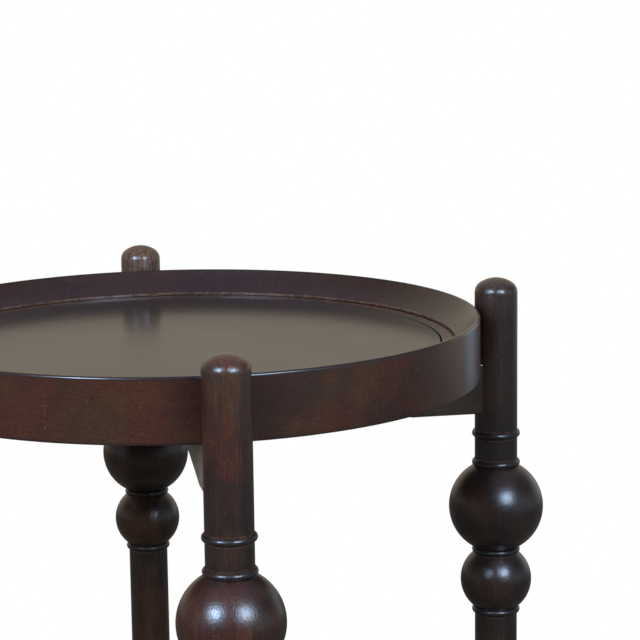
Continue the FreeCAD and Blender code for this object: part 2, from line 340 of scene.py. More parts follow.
    def noise(self, tree: Tree, place: Source, size_mm: Pair, detail: float = 3.0,
              distortion: float = 0.0) -> Node:
        """A noise whose grains have a real width and length.

        Args:
            tree: The material's tree.
            place: The place in the plank.
            size_mm: The grains' width across the fibres and length along them.
            detail: Octaves of the noise.
            distortion: How far the grains are bent.

        Returns:
            The noise, about 0.5 on average.
        """
        width, length = size_mm
        scale = (1 / (width * MM), 1 / (width * MM), 1 / (length * MM))
        mapped = add_node(tree, "ShaderNodeMapping", {"Vector": place, "Scale": scale})
        return add_node(tree, "ShaderNodeTexNoise", {
            "Vector": mapped, "Scale": NOISE_SCALE, "Detail": detail, "Roughness": NOISE_ROUGHNESS,
            "Distortion": distortion})

    def stained(self, tree: Tree, place: Source, fibre: Source) -> Source:
        """The stain's clouds, which cross from piece to piece as sprayed, and the fibres.

        Args:
            tree: The material's tree.
            place: The place in the plank.
            fibre: The fibre noise.

        Returns:
            The colour.
        """
        clouds = self.noise(tree, place, (self.patch_mm * HUE_WIDTH, self.patch_mm), detail=2.0)
        age = add_node(tree, "ShaderNodeAttribute", attribute_name="age").outputs["Fac"]
        drift = add_node(tree, "ShaderNodeMath", {0: clouds, 1: age})
        hue = add_node(tree, "ShaderNodeMapRange", {
            "Value": drift, "From Min": self.hues[0], "From Max": self.hues[1]})
        brown = add_node(tree, "ShaderNodeMix", {
            0: hue, 6: linear(self.warm), 7: linear(self.olive)}, data_type="RGBA")
        mixed = add_node(tree, "ShaderNodeMix", {
            0: self.brown_share(tree), 6: linear(self.stain), 7: brown.outputs[2]}, data_type="RGBA")
        colour = mixed.outputs[2]
        bands = self.noise(tree, place, self.band_mm, detail=2.0)
        mottle = self.noise(tree, place, self.mottle_mm, detail=2.0)
        for pattern, strength in ((fibre, self.fibre_share), (bands, self.band_share),
                                  (mottle, self.mottle_share)):
            shade = add_node(tree, "ShaderNodeMapRange", {
                "Value": pattern, "From Min": NOISE_RANGE[0], "From Max": NOISE_RANGE[1],
                "To Min": 1 - strength, "To Max": 1 + strength})
            colour = add_node(tree, "ShaderNodeVectorMath", {0: colour, "Scale": shade}, operation="SCALE")
        return colour

    def brown_share(self, tree: Tree) -> Source:
        """How much brown shows through the stain: its clouds and the piece's tone, less where stain and
        painted shade pool near beads, and less on faces that look one way, as painted shade.
        """
        here = add_node(tree, "ShaderNodeTexCoord").outputs["Object"]
        shifted = add_node(tree, "ShaderNodeVectorMath", {0: here, 1: self.cloud_shift})
        clouds = self.noise(tree, shifted, (self.patch_mm, self.patch_mm * CLOUD_STRETCH), distortion=0.5)
        thin = add_node(tree, "ShaderNodeMapRange", {
            "Value": clouds, "From Min": self.patch_low, "From Max": self.patch_low + self.patch_span,
            "To Min": self.patch_floor}, interpolation_type="SMOOTHSTEP")
        tone = add_node(tree, "ShaderNodeAttribute", attribute_name="tone").outputs["Fac"]
        # Stain and painted shade pooled about the beads make the colour darker
        pooled = add_node(tree, "ShaderNodeAttribute", attribute_name="pooled").outputs["Fac"]
        # Painted shade: the colour is made darker on faces that look the given way
        normal = add_node(tree, "ShaderNodeNewGeometry").outputs["Normal"]
        facing = add_node(tree, "ShaderNodeVectorMath", {0: normal, 1: self.painted_facing_shade_way},
                          operation="DOT_PRODUCT").outputs["Value"]
        painted_facing_shade = add_node(tree, "ShaderNodeMapRange", {
            "Value": facing, "From Min": self.painted_facing_shade_from[0], "From Max": self.painted_facing_shade_from[1],
            "To Min": 1.0, "To Max": 1 - self.painted_facing_shade})
        bare = add_node(tree, "ShaderNodeMath", {0: 1.0, 1: pooled}, operation="SUBTRACT", use_clamp=True)
        share = thin
        for part in (tone, painted_facing_shade, bare):
            share = add_node(tree, "ShaderNodeMath", {0: share, 1: part}, operation="MULTIPLY")
        return share

    def wear(self, tree: Tree, place: Source) -> dict[Wear, Node]:
        """Finds what has happened to the edges, from how convex they are and how they are worn.

        Args:
            tree: The material's tree.
            place: The place in the plank.

        Returns:
            The share of each kind of wear, from 0 to 1.
        """
        broken = add_node(tree, "ShaderNodeMapRange", {
            "Value": self.noise(tree, place, self.chip_mm), "From Min": self.chips[0],
            "From Max": self.chips[1], "To Min": self.chip_floor})
        wear = {}
        for kind in Wear:
            attribute, low, high = kind.value
            value = add_node(tree, "ShaderNodeAttribute", attribute_name=attribute).outputs["Fac"]
            wear[kind] = add_node(tree, "ShaderNodeMapRange", {
                "Value": value, "From Min": low, "From Max": high})
        wear[Wear.LIP] = add_node(tree, "ShaderNodeMath", {0: wear[Wear.LIP], 1: wear[Wear.HOLLOW]},
                                  operation="SUBTRACT", use_clamp=True)
        for kind in (Wear.LIP, Wear.RUBBED):
            wear[kind] = add_node(tree, "ShaderNodeMath", {0: wear[kind], 1: broken}, operation="MULTIPLY")
        return wear

    def film(self, tree: Tree, place: Source, wear: dict[Wear, Node]) -> Node:
        """The film's weight: faint smears, and little film where it is dull or sheltered from the spray."""
        dull = add_node(tree, "ShaderNodeMath", {0: wear[Wear.DULL], 1: wear[Wear.SHELTERED]},
                        operation="MAXIMUM")
        kept = add_node(tree, "ShaderNodeMapRange", {
            "Value": dull, "To Min": self.coat, "To Max": self.dull_film * self.coat})
        clouds = self.noise(tree, place, (self.smear_mm, self.smear_mm * SMEAR_STRETCH), distortion=1.0)
        smear = add_node(tree, "ShaderNodeMapRange", {
            "Value": clouds, "From Min": self.smears[0], "From Max": self.smears[1],
            "To Min": 1 - self.smear_share})
        return add_node(tree, "ShaderNodeMath", {0: kept, 1: smear}, operation="MULTIPLY")

    def specks(self, tree: Tree, place: Source) -> Node:
        """Strews a few dust nibs and pores, thicker in some places than in others."""
        nibs = add_node(tree, "ShaderNodeTexVoronoi", {"Vector": place, "Scale": 1 / (SPECK_SPACING * MM)})
        chosen = add_node(tree, "ShaderNodeSeparateColor", {0: nibs.outputs["Color"]})
        cloud = self.noise(tree, place, self.nib_cloud_mm, detail=2.0)
        rare = add_node(tree, "ShaderNodeMath", {0: chosen, 1: cloud})
        kept = add_node(tree, "ShaderNodeMapRange", {
            "Value": rare, "From Min": self.nib_chance[0], "From Max": self.nib_chance[1]})
        dots = add_node(tree, "ShaderNodeMapRange", {
            "Value": nibs.outputs["Distance"], "From Min": self.nib_reach[0],
            "From Max": self.nib_reach[1], "To Min": self.nib_share, "To Max": 0.0})
        return add_node(tree, "ShaderNodeMath", {0: dots, 1: kept}, operation="MULTIPLY")

    def marked(self, tree: Tree, place: Source, colour: Source, wear: dict[Wear, Node]) -> Source:
        """Lays the specks, the thick stain on beads, the stain and painted shade in grooves, and the worn
        edges over the colour.

        Args:
            tree: The material's tree.
            place: The place in the plank.
            colour: The stained colour.
            wear: What has happened to the edges.

        Returns:
            The colour.
        """
        for share, most, layer in ((self.specks(tree, place), 1.0, self.speck),
                                   (wear[Wear.PROUD], self.proud_share, self.stain),
                                   (wear[Wear.LIP], self.lip_share, self.lip),
                                   # Grooves darkened by stain and by painted shade
                                   (wear[Wear.HOLLOW], self.groove_stain_and_shade_share, self.stain),
                                   (wear[Wear.RUBBED], self.rubbed_share, self.rubbed)):
            scaled = add_node(tree, "ShaderNodeMath", {0: share, 1: most}, operation="MULTIPLY")
            colour = add_node(tree, "ShaderNodeMix", {0: scaled, 6: colour, 7: linear(layer)},
                              data_type="RGBA").outputs[2]
        return colour

    def varied_roughness(self, tree: Tree, place: Source, fibre: Source) -> Node:
        """Roughness, a little higher where the lacquer sank into the fibres."""
        cloud = self.noise(tree, place, self.sink_mm, detail=2.0)
        summed = add_node(tree, "ShaderNodeMath", {0: cloud, 1: fibre})
        return add_node(tree, "ShaderNodeMapRange", {
            "Value": summed, "From Max": 2.0, "To Min": self.roughness - self.roughness_spread,
            "To Max": self.roughness + self.roughness_spread})

    def surface(self, tree: Tree, place: Source, fibre: Source) -> Node:
        """The bumps: fibres that telegraph through the film, and the ripple of the sprayed lacquer."""
        size_mm = (self.ripple_mm, self.ripple_mm * RIPPLE_STRETCH)
        ripple = self.noise(tree, place, size_mm, detail=2.0, distortion=0.8)
        rippled = add_node(tree, "ShaderNodeBump", {
            "Height": ripple, "Distance": self.ripple_depth_mm * MM, "Strength": 1.0})
        return add_node(tree, "ShaderNodeBump", {
            "Height": fibre, "Distance": self.fibre_depth_mm * MM, "Strength": 1.0, "Normal": rippled})


@dataclass(frozen=True)
class BareWood:
    """Unfinished beech or birch ply, cut across or along: pale, with short darker flecks.

    Attributes:
        name: The material's name.
        pale: The early wood.
        fleck: The rays and late wood.
        fibre_mm: Width of a fleck.
        fibre_length_mm: Length of a fleck.
        flecks: Noise values where a fleck starts and is full.
        pore_depth_mm: Depth of the open pores.
        roughness: Of the bare wood.
    """

    name: str
    pale: str
    fleck: str
    fibre_mm: float = 0.6
    fibre_length_mm: float = 4.0
    flecks: Pair = (0.4, 0.7)
    pore_depth_mm: float = 0.03
    roughness: float = 0.75

    def build(self) -> Material:
        """Builds the material's nodes and returns it."""
        material, tree = new_material(self.name)
        place = add_node(tree, "ShaderNodeTexCoord").outputs["Object"]
        scale = (1 / (self.fibre_mm * MM), 1 / (self.fibre_length_mm * MM), 1 / (self.fibre_mm * MM))
        mapped = add_node(tree, "ShaderNodeMapping", {"Vector": place, "Scale": scale})
        flecks = add_node(tree, "ShaderNodeTexNoise", {
            "Vector": mapped, "Scale": NOISE_SCALE, "Detail": 3.0})
        ranged = add_node(tree, "ShaderNodeMapRange", {
            "Value": flecks, "From Min": self.flecks[0], "From Max": self.flecks[1]})
        mixed = add_node(tree, "ShaderNodeMix", {
            0: ranged, 6: linear(self.pale), 7: linear(self.fleck)}, data_type="RGBA")
        bump = add_node(tree, "ShaderNodeBump", {
            "Height": flecks, "Distance": self.pore_depth_mm * MM, "Strength": 1.0})
        shader = add_node(tree, "ShaderNodeBsdfPrincipled", {
            "Base Color": mixed.outputs[2], "Roughness": self.roughness, "Normal": bump})
        add_node(tree, "ShaderNodeOutputMaterial", {"Surface": shader})
        return material


@dataclass(frozen=True)
class MillSteel:
    """Drawn or turned steel with a thin plate or oxide: a metal lustre with fine tool lines and dull spots.

    Attributes:
        name: The material's name.
        bright: The colour of the clean plate.
        dull: The colour of its handled spots.
        roughness: Of the clean plate.
        roughness_spread: How far the roughness varies, down and up.
        spot_mm: Size of the handled spots.
        spots: Noise values where a spot starts and is full.
        line_mm: Spacing of the tool lines.
        line_depth_mm: Their depth.
    """

    name: str
    bright: str
    dull: str
    roughness: float = 0.34
    roughness_spread: Pair = (0.08, 0.16)
    spot_mm: float = 4.0
    spots: Pair = (0.4, 0.65)
    line_mm: float = 0.25
    line_depth_mm: float = 0.01

    def build(self) -> Material:
        """Builds the material's nodes and returns it."""
        material, tree = new_material(self.name)
        place = add_node(tree, "ShaderNodeTexCoord").outputs["Object"]
        spots = add_node(tree, "ShaderNodeTexNoise", {
            "Vector": place, "Scale": 1 / (self.spot_mm * MM), "Detail": 3.0})
        lines = add_node(tree, "ShaderNodeTexNoise", {
            "Vector": place, "Scale": 1 / (self.line_mm * MM), "Detail": 1.0})
        ranged = add_node(tree, "ShaderNodeMapRange", {
            "Value": spots, "From Min": self.spots[0], "From Max": self.spots[1]})
        mixed = add_node(tree, "ShaderNodeMix", {
            0: ranged, 6: linear(self.bright), 7: linear(self.dull)}, data_type="RGBA")
        rough = add_node(tree, "ShaderNodeMapRange", {
            "Value": spots, "To Min": self.roughness - self.roughness_spread[0],
            "To Max": self.roughness + self.roughness_spread[1]})
        bump = add_node(tree, "ShaderNodeBump", {
            "Height": lines, "Distance": self.line_depth_mm * MM, "Strength": 1.0})
        shader = add_node(tree, "ShaderNodeBsdfPrincipled", {
            "Base Color": mixed.outputs[2], "Metallic": 1.0, "Roughness": rough, "Normal": bump})
        add_node(tree, "ShaderNodeOutputMaterial", {"Surface": shader})
        return material


@dataclass(frozen=True)
class SoftPad:
    """Pressed wool felt or moulded nylon: no metal, a dull face with a fine random texture.

    Attributes:
        name: The material's name.
        dark: The deeper colour.
        light: The raised colour.
        grain_mm: Size of the texture: fibre tufts in felt, a spark-eroded mould's grain in nylon.
        depth_mm: Its depth.
        roughness: Of the face.
        sheen: Weight of the soft light that loose fibres catch.
    """

    name: str
    dark: str
    light: str
    grain_mm: float
    depth_mm: float
    roughness: float
    sheen: float = 0.0

    def build(self) -> Material:
        """Builds the material's nodes and returns it."""
        material, tree = new_material(self.name)
        place = add_node(tree, "ShaderNodeTexCoord").outputs["Object"]
        grain = add_node(tree, "ShaderNodeTexNoise", {
            "Vector": place, "Scale": 1 / (self.grain_mm * MM), "Detail": 4.0, "Roughness": 0.7})
        mixed = add_node(tree, "ShaderNodeMix", {
            0: grain, 6: linear(self.dark), 7: linear(self.light)}, data_type="RGBA")
        bump = add_node(tree, "ShaderNodeBump", {
            "Height": grain, "Distance": self.depth_mm * MM, "Strength": 1.0})
        shader = add_node(tree, "ShaderNodeBsdfPrincipled", {
            "Base Color": mixed.outputs[2], "Roughness": self.roughness, "Sheen Weight": self.sheen,
            "Normal": bump})
        add_node(tree, "ShaderNodeOutputMaterial", {"Surface": shader})
        return material


@dataclass
class Profile:
    """An outline in the XZ plane in millimetres, drawn so that the wood lies on its left.

    Attributes:
        corners: Radius, height and easing radius of each corner.
        marks: Where the wood is worn, or has stain and painted shade pooled on it: the place, how far it
            reaches and its share.
        edge_reach: How far along the outline its convexity is measured, each way.
        supports: Distances from the end of a long span or arc at which it gets a point.
        longest_span: The longest piece of a straight span.
        chord: The length that an arc's chords aim at.
        turns: The smallest and largest turn of a chord, in degrees.
        least_chords: The fewest chords of an arc.
    """

    corners: list[Way] = field(default_factory=list)
    marks: dict[str, list[tuple[Pair, float, float]]] = field(
        default_factory=lambda: {"worn": [], "pooled": []})
    edge_reach: float = 1.2
    supports: Pair = (0.6, 1.2)
    longest_span: float = 9.0
    chord: float = 0.5
    turns: Pair = (2.5, 12.0)
    least_chords: int = 3

    def line(self, radius: float, height: float, ease: float = 0.0) -> None:
        """Draws a straight edge to a corner, which may be eased."""
        self.corners.append((radius, height, ease))

    def mark(self, name: str, reach: float, share: float) -> None:
        """Marks the wood about the last corner as worn, or as darkened by stain and painted shade."""
        self.marks[name].append((self.corners[-1][:2], reach, share))

    def sweep(self, middle: Pair, radius: float, first: float, last: float) -> None:
        """Draws an arc from where the pen is to its last angle.

        Args:
            middle: The arc's middle.
            radius: Its radius.
            first: Its first angle in degrees, counted up from level.
            last: Its last angle.
        """
        step = min(max(math.degrees(self.chord / radius), self.turns[0]), self.turns[1])
        count = max(self.least_chords, math.ceil(abs(last - first) / step))
        shares = {number / count for number in range(1, count + 1)}
        whole = math.radians(abs(last - first)) * radius
        if whole / count > self.supports[0]:
            shares.update(place for near in self.supports for place in (near / whole, 1 - near / whole))
        for share in sorted(shares):
            turn = math.radians(first + (last - first) * share)
            self.line(middle[0] + radius * math.cos(turn), middle[1] + radius * math.sin(turn))

    def arc(self, through: Pair, end: Pair) -> None:
        """Draws an arc from where the pen is, through a point, to an end point."""
        start = self.corners[-1][:2]
        middle = circle_middle(start, through, end)
        radius = math.dist(middle, start)
        angles = [math.degrees(math.atan2(point[1] - middle[1], point[0] - middle[0]))
                  for point in (start, through, end)]
        first, halfway, last = angles
        turn = (last - first) % 360
        if (halfway - first) % 360 > turn:
            turn -= 360
        self.sweep(middle, radius, first, first + turn)

    def points(self, closed: bool) -> list[Pair]:
        """Eases the corners and divides the long spans.

        Args:
            closed: Whether the outline returns to its start.

        Returns:
            The outline's points, with the first repeated at the end where it is closed.
        """
        eased: list[Pair] = []
        count = len(self.corners)
        for place, (radius, height, ease) in enumerate(self.corners):
            if ease == 0 or (not closed and place in (0, count - 1)):
                eased.append((radius, height))
                continue
            before = self.corners[place - 1][:2]
            after = self.corners[(place + 1) % count][:2]
            eased.extend(eased_corner(before, (radius, height), after, ease))
        if closed:
            eased.append(eased[0])
        divided = [eased[0]]
        for start, end in zip(eased, eased[1:]):
            divided.extend(self.span(start, end))
        return divided

    def span(self, start: Pair, end: Pair) -> list[Pair]:
        """The points that follow the first on a straight span, with supports near its ends."""
        length = math.dist(start, end)
        shares = {1.0}
        if length > 2 * self.supports[1]:
            inner = math.ceil(length / self.longest_span)
            shares.update(number / inner for number in range(1, inner))
        shares.update(place for near in self.supports if length > 2 * near
                      for place in (near / length, 1 - near / length))
        return [(start[0] + (end[0] - start[0]) * s, start[1] + (end[1] - start[1]) * s)
                for s in sorted(shares)]

    def mesh(self, name: str, closed: bool = False) -> Mesh:
        """Makes the outline a chain of edges, with attributes that say how convex and worn it is, and how
        much stain and painted shade pool on it.

        Args:
            name: The mesh's name.
            closed: Whether the outline returns to its start.

        Returns:
            The mesh, in metres.
        """
        points = self.points(closed)
        mesh = bpy.data.meshes.new(name)
        edges = [(number, number + 1) for number in range(len(points) - 1)]
        mesh.from_pydata([(radius * MM, 0, height * MM) for radius, height in points], edges, [])
        values = {"edge": edge_values(points, self.edge_reach, closed)}
        for label, marks in self.marks.items():
            values[label] = [
                max((share * (1 - math.dist(point, place) / reach) for place, reach, share in marks
                     if math.dist(point, place) < reach), default=0.0) for point in points]
        for label, numbers in values.items():
            mesh.attributes.new(label, "FLOAT", "POINT").data.foreach_set("value", numbers)
        return mesh


def circle_middle(first: Pair, second: Pair, third: Pair) -> Pair:
    """The middle of the circle through three points."""
    (ax, ay), (bx, by), (cx, cy) = first, second, third
    twice_area = 2 * (ax * (by - cy) + bx * (cy - ay) + cx * (ay - by))
    a, b, c = ax * ax + ay * ay, bx * bx + by * by, cx * cx + cy * cy
    return ((a * (by - cy) + b * (cy - ay) + c * (ay - by)) / twice_area,
            (a * (cx - bx) + b * (ax - cx) + c * (bx - ax)) / twice_area)


def eased_corner(before: Pair, corner: Pair, after: Pair, radius: float) -> list[Pair]:
    """Rounds a corner with a small arc.

    Args:
        before: The point before the corner.
        corner: The corner.
        after: The point after it.
        radius: The arc's radius.

    Returns:
        The points of the arc.
    """
    here = Vector(corner)
    back = (Vector(before) - here).normalized()
    ahead = (Vector(after) - here).normalized()
    half = back.angle(ahead) / 2
    middle = here + (back + ahead).normalized() * radius / math.sin(half)
    start = here + back * radius / math.tan(half)
    turn = math.pi - 2 * half
    if back.x * ahead.y - back.y * ahead.x > 0:
        turn = -turn
    spoke = start - middle
    return [tuple(middle + Matrix.Rotation(turn * number / EASE_STEPS, 2) @ spoke)
            for number in range(EASE_STEPS + 1)]


def edge_values(points: list[Pair], reach: float, closed: bool) -> list[float]:
    """Says how convex an outline is at each point.

    Args:
        points: The outline.
        reach: How far along the outline it looks, each way.
        closed: Whether the outline returns to its start.

    Returns:
        The point's height over the chord about it as a share of the chord, negative in a hollow.
    """
    lengths = [0.0]
    for start, end in zip(points, points[1:]):
        lengths.append(lengths[-1] + math.dist(start, end))
    whole = lengths[-1]

    def at(length: float) -> Vector:
        place = length % whole if closed else min(max(length, 0.0), whole)
        number = max(1, next((n for n, value in enumerate(lengths) if value >= place), 1))
        share = (place - lengths[number - 1]) / max(lengths[number] - lengths[number - 1], LEAST)
        return Vector(points[number - 1]).lerp(Vector(points[number]), share)

    values = []
    for point, length in zip(points, lengths):
        back, ahead = at(length - reach), at(length + reach)
        chord = ahead - back
        offset = Vector(point) - back
        values.append((chord.y * offset.x - chord.x * offset.y) / max(chord.length_squared, LEAST))
    return values


def new_tree(name: str, sockets: dict[str, str]) -> tuple[Tree, dict[str, Socket]]:
    """Starts a Geometry Nodes tree.

    Args:
        name: The tree's name.
        sockets: Socket types by input name.

    Returns:
        The tree, and its inputs by name.
    """
    tree = bpy.data.node_groups.new(name, "GeometryNodeTree")
    tree.is_modifier = True
    for label, kind in sockets.items():
        tree.interface.new_socket(label, in_out="INPUT", socket_type=kind)
    tree.interface.new_socket("Geometry", in_out="OUTPUT", socket_type="NodeSocketGeometry")
    source = add_node(tree, "NodeGroupInput")
    return tree, {label: source.outputs[label] for label in sockets}


TURNING_INPUTS = {
    "Profile": "NodeSocketGeometry",
    "Sides": "NodeSocketInt",
    "First Angle": "NodeSocketFloat",
    "Sweep": "NodeSocketFloat",
    "Centre": "NodeSocketVector",
    "Grain Turn": "NodeSocketVector",
    "Tone": "NodeSocketFloat",
    "Age": "NodeSocketFloat",
    "Material": "NodeSocketMaterial",
}


def turned_shell(tree: Tree, given: dict[str, Socket]) -> Node:
    """Turns a profile about an upright axis.

    A grid has one row for each point of the profile, and each row is bent round the axis at its point's
    radius and height.

    Args:
        tree: The tree that gets the nodes.
        given: The tree's inputs by name.

    Returns:
        The shell, about the origin.
    """
    size = add_node(tree, "GeometryNodeAttributeDomainSize", {"Geometry": given["Profile"]})
    rows = size.outputs["Point Count"]
    columns = add_node(tree, "ShaderNodeMath", {0: given["Sides"], 1: 1.0})
    grid = add_node(tree, "GeometryNodeMeshGrid", {
        "Size X": 1.0, "Size Y": 1.0, "Vertices X": columns, "Vertices Y": rows})
    here = add_node(tree, "GeometryNodeInputPosition")
    spot = add_node(tree, "ShaderNodeSeparateXYZ", {0: here}).outputs

    # The grid reaches from -0.5 to 0.5 each way
    across = add_node(tree, "ShaderNodeMath", {0: spot["X"], 1: 0.5})
    along = add_node(tree, "ShaderNodeMath", {0: spot["Y"], 1: 0.5})
    last_row = add_node(tree, "ShaderNodeMath", {0: rows, 1: 1.0}, operation="SUBTRACT")
    row = add_node(tree, "ShaderNodeMath", {0: along, 1: last_row}, operation="MULTIPLY")
    number = add_node(tree, "ShaderNodeMath", {0: row}, operation="ROUND")
    point = add_node(tree, "GeometryNodeSampleIndex", {
        "Geometry": given["Profile"], "Index": number, "Value": here}, data_type="FLOAT_VECTOR")
    angle = add_node(tree, "ShaderNodeMath", {0: across, 1: given["Sweep"], 2: given["First Angle"]},
                     operation="MULTIPLY_ADD")
    bent = add_node(tree, "ShaderNodeVectorRotate", {"Vector": point, "Angle": angle}, rotation_type="Z_AXIS")
    return add_node(tree, "GeometryNodeSetPosition", {"Geometry": grid, "Position": bent})


def finish_tree(tree: Tree, geometry: Node, given: dict[str, Socket]) -> None:
    """Closes the seams, writes what the finish reads, shades the faces, sets the piece in place and ends.

    Every point keeps its place in the plank, what the profile says of its edges, and the piece's tone.

    Args:
        tree: The tree.
        geometry: What it has made, about the origin.
        given: The tree's inputs by name.
    """
    kept = add_node(tree, "GeometryNodeMergeByDistance", {"Geometry": geometry, "Distance": MERGE_MM * MM})
    here = add_node(tree, "GeometryNodeInputPosition")
    plank = add_node(tree, "ShaderNodeVectorRotate", {"Vector": here, "Rotation": given["Grain Turn"]},
                     rotation_type="EULER_XYZ")
    spot = add_node(tree, "ShaderNodeSeparateXYZ", {0: here}).outputs
    level = add_node(tree, "ShaderNodeCombineXYZ", {0: spot["X"], 1: spot["Y"]})
    radius = add_node(tree, "ShaderNodeVectorMath", {0: level}, operation="LENGTH").outputs["Value"]
    section = add_node(tree, "ShaderNodeCombineXYZ", {0: radius, 2: spot["Z"]})
    nearest = add_node(tree, "GeometryNodeSampleNearest", {
        "Geometry": given["Profile"], "Sample Position": section}, domain="POINT")
    stored = [("tone", given["Tone"], "FLOAT"), ("age", given["Age"], "FLOAT"),
              ("grain", plank, "FLOAT_VECTOR")]
    for name in ("edge", "worn", "pooled"):
        own = add_node(tree, "GeometryNodeInputNamedAttribute", {"Name": name}, data_type="FLOAT")
        sampled = add_node(tree, "GeometryNodeSampleIndex", {
            "Geometry": given["Profile"], "Index": nearest, "Value": own})
        stored.append((name, sampled, "FLOAT"))
    for name, value, kind in stored:
        kept = add_node(tree, "GeometryNodeStoreNamedAttribute", {
            "Geometry": kept, "Name": name, "Value": value}, data_type=kind)
    placed = add_node(tree, "GeometryNodeSetPosition", {"Geometry": kept, "Offset": given["Centre"]})
    smooth = add_node(tree, "GeometryNodeSetShadeSmooth", {"Geometry": placed})
    angle = add_node(tree, "GeometryNodeInputMeshEdgeAngle").outputs["Unsigned Angle"]
    sharp = add_node(tree, "ShaderNodeMath", {0: angle, 1: math.radians(SHARP_ANGLE)},
                     operation="GREATER_THAN")
    creased = add_node(tree, "GeometryNodeSetShadeSmooth", {
        "Geometry": smooth, "Selection": sharp, "Shade Smooth": False}, domain="EDGE")
    real = add_node(tree, "GeometryNodeRealizeInstances", {"Geometry": creased})
    dressed = add_node(tree, "GeometryNodeSetMaterial", {"Geometry": real, "Material": given["Material"]})
    add_node(tree, "NodeGroupOutput", {"Geometry": dressed})


def turning_tree() -> Tree:
    """Builds the tree that turns a whole piece from its profile."""
    tree, given = new_tree("turned_piece", TURNING_INPUTS)
    finish_tree(tree, turned_shell(tree, given), given)
    return tree


def segment_tree() -> Tree:
    """Builds the tree that makes one rim segment: a turned stretch with sawn ends and a screw's seat."""
    extra = {"Seat Radius": "NodeSocketFloat", "Seat Depth": "NodeSocketFloat",
             "Seat Place": "NodeSocketVector", "Seat Sides": "NodeSocketInt"}
    tree, given = new_tree("rim_segment", {**TURNING_INPUTS, **extra})
    quarter = math.radians(90)
    chain = add_node(tree, "GeometryNodeMeshToCurve", {"Mesh": given["Profile"]})
    laid = add_node(tree, "GeometryNodeTransform", {"Geometry": chain, "Rotation": (-quarter, 0, 0)})
    filled = add_node(tree, "GeometryNodeFillCurve", {"Curve": laid}, mode="NGONS")
    stood = add_node(tree, "GeometryNodeTransform", {"Geometry": filled, "Rotation": (quarter, 0, 0)})
    last = add_node(tree, "ShaderNodeMath", {0: given["First Angle"], 1: given["Sweep"]})
    ends = []
    for angle in (given["First Angle"], last):
        turn = add_node(tree, "ShaderNodeCombineXYZ", {"Z": angle})
        ends.append(add_node(tree, "GeometryNodeTransform", {"Geometry": stood, "Rotation": turn}))
    ends[1] = add_node(tree, "GeometryNodeFlipFaces", {"Mesh": ends[1]})
    joined = add_node(tree, "GeometryNodeJoinGeometry")
    for piece in [turned_shell(tree, given)] + ends:
        tree.links.new(piece.outputs[0], joined.inputs[0])
    merged = add_node(tree, "GeometryNodeMergeByDistance", {"Geometry": joined, "Distance": MERGE_MM * MM})
    seat = add_node(tree, "GeometryNodeMeshCone", {
        "Vertices": given["Seat Sides"], "Radius Top": 0.0, "Radius Bottom": given["Seat Radius"],
        "Depth": given["Seat Depth"]})
    seated = add_node(tree, "GeometryNodeTransform", {"Geometry": seat, "Translation": given["Seat Place"]})
    cut = add_node(tree, "GeometryNodeMeshBoolean", {"Mesh 1": merged, "Mesh 2": seated},
                   operation="DIFFERENCE")
    finish_tree(tree, cut, given)
    return tree


def grow(tree: Tree, seed: Mesh, settings: dict[str, Any]) -> Mesh:
    """Runs a tree on a mesh and keeps the result as a plain mesh.

    Args:
        tree: The Geometry Nodes tree.
        seed: The mesh that it starts from.
        settings: The tree's inputs by name.

    Returns:
        The plain mesh.
    """
    host = new_object("host", seed)
    modifier = host.modifiers.new("tree", "NODES")
    modifier.node_group = tree
    for item in tree.interface.items_tree:
        if item.in_out == "INPUT" and item.name in settings:
            modifier[item.identifier] = settings[item.name]
    depsgraph = bpy.context.evaluated_depsgraph_get()
    mesh = bpy.data.meshes.new_from_object(host.evaluated_get(depsgraph), preserve_all_data_layers=True,
                                           depsgraph=depsgraph)
    host.modifiers.remove(modifier)
    bpy.data.objects.remove(host)
    return mesh


def place_piece(name: str, mesh: Mesh, body: Body, node: str) -> bpy.types.Object:
    """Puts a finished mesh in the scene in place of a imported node.

    Args:
        name: The piece's name.
        mesh: Its mesh, in place, in metres.
        body: The body that it rides on.
        node: The node that it stands for.

    Returns:
        The piece.
    """
    piece = new_object(name, mesh)
    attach(piece, body.value)
    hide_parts(node)
    low, high = mesh_box(mesh)
    log.info("%s: %d faces, %.1f to %.1f mm high", name, len(mesh.polygons), low.z / MM, high.z / MM)
    return piece


def mesh_box(mesh: Mesh) -> tuple[Vector, Vector]:
    """The lowest and highest corners of a mesh."""
    places = [vertex.co for vertex in mesh.vertices]
    low = Vector([min(place[axis] for place in places) for axis in range(3)])
    high = Vector([max(place[axis] for place in places) for axis in range(3)])
    return low, high


def dress(node: str, material: Material) -> None:
    """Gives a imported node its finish."""
    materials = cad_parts[node].data.materials
    materials.clear()
    materials.append(material)
    log.info("%s: dressed in %s", node, material.name)


def middle_of(node: str) -> Vector:
    """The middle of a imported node's box, in metres."""
    low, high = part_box(node)
    return (low + high) / 2


